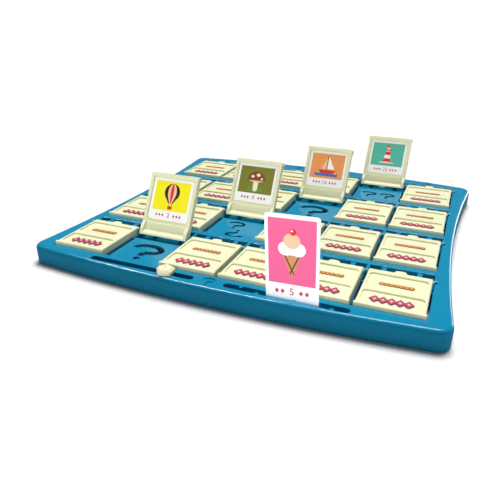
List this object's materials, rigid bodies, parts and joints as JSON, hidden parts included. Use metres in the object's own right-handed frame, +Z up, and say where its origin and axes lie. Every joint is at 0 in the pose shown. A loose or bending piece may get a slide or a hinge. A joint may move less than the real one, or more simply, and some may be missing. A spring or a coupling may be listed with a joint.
{
  "type": "face guessing flip game",
  "caption": "Flat blue game tray with a grid of hinged cream flip frames holding face cards, a score slider and a slot for a loose card.",
  "frame": {"origin": "centre of the tray's bottom, on the table", "axes": "+Z up, +X to the player's right, +Y away from the player"},
  "size_m": [0.2654, 0.2586, 0.0618],
  "materials": {
    "tray_blue": "satin gloss",
    "cream_plastic": "satin",
    "card_yellow": "printed card with a satin varnish",
    "card_olive": "printed card with a satin varnish",
    "card_orange": "printed card with a satin varnish",
    "card_teal": "printed card with a satin varnish",
    "card_pink": "printed card with a satin varnish",
    "card_blue": "printed card with a satin varnish"
  },
  "bodies": {
    "tray": {"tray": "tray_blue"},
    "slider": {"slider_knob": "cream_plastic", "slider_clip": "cream_plastic"},
    "mystery_card": {"mystery_card": "card_pink"},
    "flap_r1_c1": {"flap_r1_c1": "cream_plastic", "face_r1_c1": "card_pink"},
    "flap_r1_c2": {"flap_r1_c2": "cream_plastic", "face_r1_c2": "card_yellow"},
    "flap_r1_c3": {"flap_r1_c3": "cream_plastic", "face_r1_c3": "card_yellow"},
    "flap_r1_c4": {"flap_r1_c4": "cream_plastic", "face_r1_c4": "card_olive"},
    "flap_r1_c5": {"flap_r1_c5": "cream_plastic", "face_r1_c5": "card_orange"},
    "flap_r1_c6": {"flap_r1_c6": "cream_plastic", "face_r1_c6": "card_teal"},
    "flap_r2_c1": {"flap_r2_c1": "cream_plastic", "face_r2_c1": "card_yellow"},
    "flap_r2_c2": {"flap_r2_c2": "cream_plastic", "face_r2_c2": "card_olive"},
    "flap_r2_c3": {"flap_r2_c3": "cream_plastic", "face_r2_c3": "card_olive"},
    "flap_r2_c4": {"flap_r2_c4": "cream_plastic", "face_r2_c4": "card_teal"},
    "flap_r2_c5": {"flap_r2_c5": "cream_plastic", "face_r2_c5": "card_pink"},
    "flap_r2_c6": {"flap_r2_c6": "cream_plastic", "face_r2_c6": "card_blue"},
    "flap_r3_c1": {"flap_r3_c1": "cream_plastic", "face_r3_c1": "card_orange"},
    "flap_r3_c2": {"flap_r3_c2": "cream_plastic", "face_r3_c2": "card_teal"},
    "flap_r3_c3": {"flap_r3_c3": "cream_plastic", "face_r3_c3": "card_pink"},
    "flap_r3_c4": {"flap_r3_c4": "cream_plastic", "face_r3_c4": "card_orange"},
    "flap_r3_c5": {"flap_r3_c5": "cream_plastic", "face_r3_c5": "card_yellow"},
    "flap_r3_c6": {"flap_r3_c6": "cream_plastic", "face_r3_c6": "card_olive"},
    "flap_r4_c1": {"flap_r4_c1": "cream_plastic", "face_r4_c1": "card_pink"},
    "flap_r4_c2": {"flap_r4_c2": "cream_plastic", "face_r4_c2": "card_blue"},
    "flap_r4_c3": {"flap_r4_c3": "cream_plastic", "face_r4_c3": "card_yellow"},
    "flap_r4_c4": {"flap_r4_c4": "cream_plastic", "face_r4_c4": "card_olive"},
    "flap_r4_c5": {"flap_r4_c5": "cream_plastic", "face_r4_c5": "card_teal"},
    "flap_r4_c6": {"flap_r4_c6": "cream_plastic", "face_r4_c6": "card_teal"}
  },
  "joints": [
    {"name": "slider_slide", "type": "slide", "parent": "tray", "child": "slider", "axis": [1, 0, 0], "range_m": [-0.051, 0.0154]},
    {"name": "mystery_card_lift", "type": "slide", "parent": "tray", "child": "mystery_card", "axis": [0, 0, 1], "range_m": [0, 0.009]},
    {"name": "flap_r1_c1_hinge", "type": "hinge", "parent": "tray", "child": "flap_r1_c1", "pos_m": [-0.1, -0.07215, 0.0122], "axis": [-1, 0, 0], "range_deg": [0, 118.67]},
    {"name": "flap_r1_c2_hinge", "type": "hinge", "parent": "tray", "child": "flap_r1_c2", "pos_m": [-0.06, -0.07215, 0.0122], "axis": [-1, 0, 0], "range_deg": [-118.67, 0]},
    {"name": "flap_r1_c3_hinge", "type": "hinge", "parent": "tray", "child": "flap_r1_c3", "pos_m": [-0.02, -0.07215, 0.0122], "axis": [-1, 0, 0], "range_deg": [0, 118.67]},
    {"name": "flap_r1_c4_hinge", "type": "hinge", "parent": "tray", "child": "flap_r1_c4", "pos_m": [0.02, -0.07215, 0.0122], "axis": [-1, 0, 0], "range_deg": [0, 118.67]},
    {"name": "flap_r1_c5_hinge", "type": "hinge", "parent": "tray", "child": "flap_r1_c5", "pos_m": [0.06, -0.07215, 0.0122], "axis": [-1, 0, 0], "range_deg": [0, 118.67]},
    {"name": "flap_r1_c6_hinge", "type": "hinge", "parent": "tray", "child": "flap_r1_c6", "pos_m": [0.1, -0.07215, 0.0122], "axis": [-1, 0, 0], "range_deg": [0, 118.67]},
    {"name": "flap_r2_c1_hinge", "type": "hinge", "parent": "tray", "child": "flap_r2_c1", "pos_m": [-0.1, -0.01415, 0.0122], "axis": [-1, 0, 0], "range_deg": [0, 118.67]},
    {"name": "flap_r2_c2_hinge", "type": "hinge", "parent": "tray", "child": "flap_r2_c2", "pos_m": [-0.06, -0.01415, 0.0122], "axis": [-1, 0, 0], "range_deg": [0, 118.67]},
    {"name": "flap_r2_c3_hinge", "type": "hinge", "parent": "tray", "child": "flap_r2_c3", "pos_m": [-0.02, -0.01415, 0.0122], "axis": [-1, 0, 0], "range_deg": [-118.67, 0]},
    {"name": "flap_r2_c4_hinge", "type": "hinge", "parent": "tray", "child": "flap_r2_c4", "pos_m": [0.02, -0.01415, 0.0122], "axis": [-1, 0, 0], "range_deg": [0, 118.67]},
    {"name": "flap_r2_c5_hinge", "type": "hinge", "parent": "tray", "child": "flap_r2_c5", "pos_m": [0.06, -0.01415, 0.0122], "axis": [-1, 0, 0], "range_deg": [0, 118.67]},
    {"name": "flap_r2_c6_hinge", "type": "hinge", "parent": "tray", "child": "flap_r2_c6", "pos_m": [0.1, -0.01415, 0.0122], "axis": [-1, 0, 0], "range_deg": [0, 118.67]},
    {"name": "flap_r3_c1_hinge", "type": "hinge", "parent": "tray", "child": "flap_r3_c1", "pos_m": [-0.1, 0.04385, 0.0122], "axis": [-1, 0, 0], "range_deg": [0, 118.67]},
    {"name": "flap_r3_c2_hinge", "type": "hinge", "parent": "tray", "child": "flap_r3_c2", "pos_m": [-0.06, 0.04385, 0.0122], "axis": [-1, 0, 0], "range_deg": [0, 118.67]},
    {"name": "flap_r3_c3_hinge", "type": "hinge", "parent": "tray", "child": "flap_r3_c3", "pos_m": [-0.02, 0.04385, 0.0122], "axis": [-1, 0, 0], "range_deg": [0, 118.67]},
    {"name": "flap_r3_c4_hinge", "type": "hinge", "parent": "tray", "child": "flap_r3_c4", "pos_m": [0.02, 0.04385, 0.0122], "axis": [-1, 0, 0], "range_deg": [-118.67, 0]},
    {"name": "flap_r3_c5_hinge", "type": "hinge", "parent": "tray", "child": "flap_r3_c5", "pos_m": [0.06, 0.04385, 0.0122], "axis": [-1, 0, 0], "range_deg": [0, 118.67]},
    {"name": "flap_r3_c6_hinge", "type": "hinge", "parent": "tray", "child": "flap_r3_c6", "pos_m": [0.1, 0.04385, 0.0122], "axis": [-1, 0, 0], "range_deg": [0, 118.67]},
    {"name": "flap_r4_c1_hinge", "type": "hinge", "parent": "tray", "child": "flap_r4_c1", "pos_m": [-0.1, 0.10185, 0.0122], "axis": [-1, 0, 0], "range_deg": [0, 118.67]},
    {"name": "flap_r4_c2_hinge", "type": "hinge", "parent": "tray", "child": "flap_r4_c2", "pos_m": [-0.06, 0.10185, 0.0122], "axis": [-1, 0, 0], "range_deg": [0, 118.67]},
    {"name": "flap_r4_c3_hinge", "type": "hinge", "parent": "tray", "child": "flap_r4_c3", "pos_m": [-0.02, 0.10185, 0.0122], "axis": [-1, 0, 0], "range_deg": [0, 118.67]},
    {"name": "flap_r4_c4_hinge", "type": "hinge", "parent": "tray", "child": "flap_r4_c4", "pos_m": [0.02, 0.10185, 0.0122], "axis": [-1, 0, 0], "range_deg": [0, 118.67]},
    {"name": "flap_r4_c5_hinge", "type": "hinge", "parent": "tray", "child": "flap_r4_c5", "pos_m": [0.06, 0.10185, 0.0122], "axis": [-1, 0, 0], "range_deg": [-118.67, 0]},
    {"name": "flap_r4_c6_hinge", "type": "hinge", "parent": "tray", "child": "flap_r4_c6", "pos_m": [0.1, 0.10185, 0.0122], "axis": [-1, 0, 0], "range_deg": [0, 118.67]}
  ]
}
